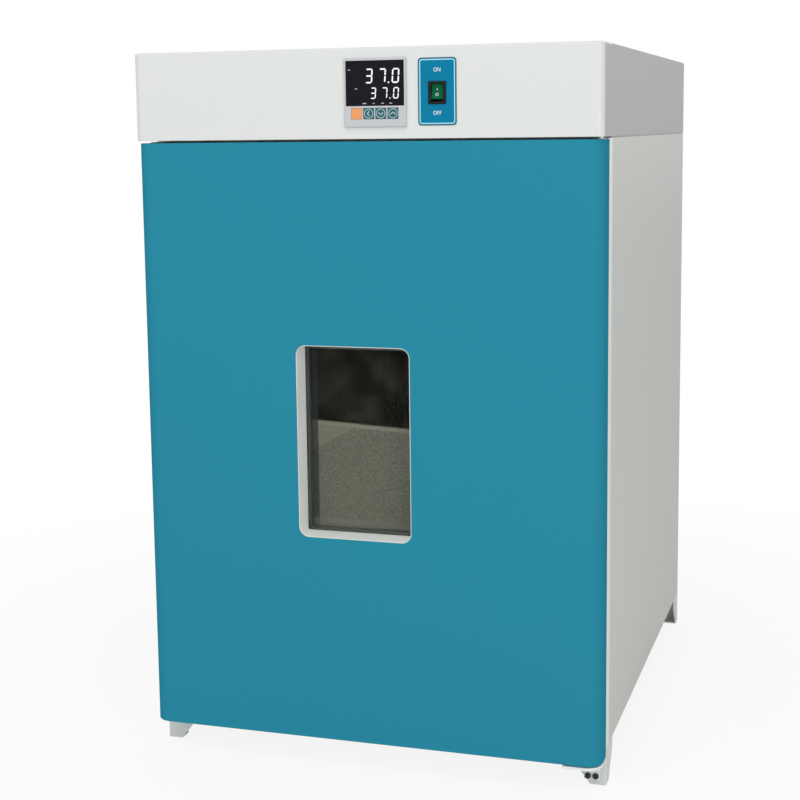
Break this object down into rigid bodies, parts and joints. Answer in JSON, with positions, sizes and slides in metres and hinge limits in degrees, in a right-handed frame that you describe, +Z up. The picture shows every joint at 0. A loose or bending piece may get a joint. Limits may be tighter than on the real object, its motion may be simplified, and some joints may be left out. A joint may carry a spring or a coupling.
{
  "type": "laboratory incubator",
  "caption": "Floor-standing cabinet incubator with a teal windowed door on right-hand hinges, a white header with a digital controller and a mains rocker, and wire shelves.",
  "frame": {"origin": "on the floor, under the middle of the cabinet's width and depth", "axes": "+Z up, the door faces -Y, +X is the viewer's right"},
  "size_m": [0.73, 0.9, 1.115],
  "materials": {
    "white_powder": "fine-textured light grey-white powder coat",
    "teal_powder": "satin teal powder coat",
    "zinc_steel": "zinc-coated sheet, unpainted",
    "stainless": "dull rolled stainless sheet",
    "plated_steel": "bright zinc or nickel plate",
    "black_steel": "blackened bolts",
    "heater_alloy": "oxidised tubular heater sheath",
    "black_enamel": "black enamel",
    "bare_aluminium": "bare, as formed",
    "mineral_wool": "mineral wool slab",
    "window_glass": "clear, dark against the unlit chamber",
    "black_rubber": "matte",
    "black_plastic": "fine moulded texture",
    "white_plastic": "satin white moulding",
    "grey_plastic": "light grey moulding",
    "display_plastic": "smoked, polished",
    "orange_plastic": "soft-touch key",
    "teal_plastic": "soft-touch key",
    "teal_plate": "printed polycarbonate",
    "green_plastic": "translucent rocker",
    "board_laminate": "coated circuit board",
    "nylon": "natural nylon"
  },
  "bodies": {
    "cabinet": {"side_panel_left": "white_powder", "side_panel_right": "white_powder", "front_frame": "white_powder", "base_pan": "zinc_steel", "deck": "zinc_steel", "rear_panel": "white_powder", "panel_screws": "plated_steel", "bulkhead": "zinc_steel", "insulation": "mineral_wool", "inner_chamber": "stainless", "air_baffle": "stainless", "heater": "heater_alloy", "temperature_probe": "stainless", "fan_motor": "black_enamel", "pilasters": "stainless", "shelf_clips": "stainless", "wire_shelf_1": "plated_steel", "wire_shelf_2": "plated_steel", "wire_shelf_3": "plated_steel", "foot_front_left": "white_powder", "foot_front_right": "white_powder", "foot_rear_left": "white_powder", "foot_rear_right": "white_powder", "hex_bolts": "black_steel", "header_fascia": "white_powder", "header_cover": "white_powder", "header_joint_strip": "white_powder", "mains_inlet": "black_plastic", "fuse_holder": "black_plastic", "control_board": "board_laminate", "heater_relay": "bare_aluminium", "controller_case": "black_plastic", "controller_bezel": "grey_plastic", "display_window": "display_plastic", "switch_plate": "teal_plate", "switch_housing": "black_plastic", "upper_hinge": "zinc_steel", "upper_pin": "plated_steel", "lower_hinge": "white_powder", "lower_pin": "plated_steel"},
    "door": {"door_shell": "teal_powder", "door_liner": "white_powder", "door_insulation": "mineral_wool", "window_reveal": "white_plastic", "outer_glass": "window_glass", "inner_glass": "window_glass", "glass_spacer": "black_plastic", "glass_seal": "black_rubber", "door_grip": "black_plastic", "gasket": "black_rubber", "door_corner_plates": "zinc_steel", "upper_bush": "nylon", "lower_bush": "nylon"},
    "fan": {"impeller": "bare_aluminium", "fan_shaft": "plated_steel"},
    "power_rocker": {"rocker": "green_plastic"},
    "set_key_cap": {"set_key": "orange_plastic"},
    "shift_key_cap": {"shift_key": "teal_plastic"},
    "down_key_cap": {"down_key": "teal_plastic"},
    "up_key_cap": {"up_key": "teal_plastic"}
  },
  "joints": [
    {"name": "door_hinge", "type": "hinge", "parent": "cabinet", "child": "door", "pos_m": [0.357, -0.422, 0.5], "axis": [0, 0, 1], "range_deg": [0, 110]},
    {"name": "fan_spin", "type": "hinge", "parent": "cabinet", "child": "fan", "pos_m": [0, 0.3, 0.56], "axis": [0, 1, 0], "continuous": true},
    {"name": "power_tilt", "type": "hinge", "parent": "cabinet", "child": "power_rocker", "pos_m": [0.1216, -0.439, 1.0473], "axis": [1, 0, 0], "range_deg": [0, 20]},
    {"name": "set_key_press", "type": "slide", "parent": "cabinet", "child": "set_key_cap", "axis": [0, 1, 0], "range_m": [0, 0.0008], "stiffness_N_per_m": 400},
    {"name": "shift_key_press", "type": "slide", "parent": "cabinet", "child": "shift_key_cap", "axis": [0, 1, 0], "range_m": [0, 0.0008], "stiffness_N_per_m": 400},
    {"name": "down_key_press", "type": "slide", "parent": "cabinet", "child": "down_key_cap", "axis": [0, 1, 0], "range_m": [0, 0.0008], "stiffness_N_per_m": 400},
    {"name": "up_key_press", "type": "slide", "parent": "cabinet", "child": "up_key_cap", "axis": [0, 1, 0], "range_m": [0, 0.0008], "stiffness_N_per_m": 400}
  ]
}
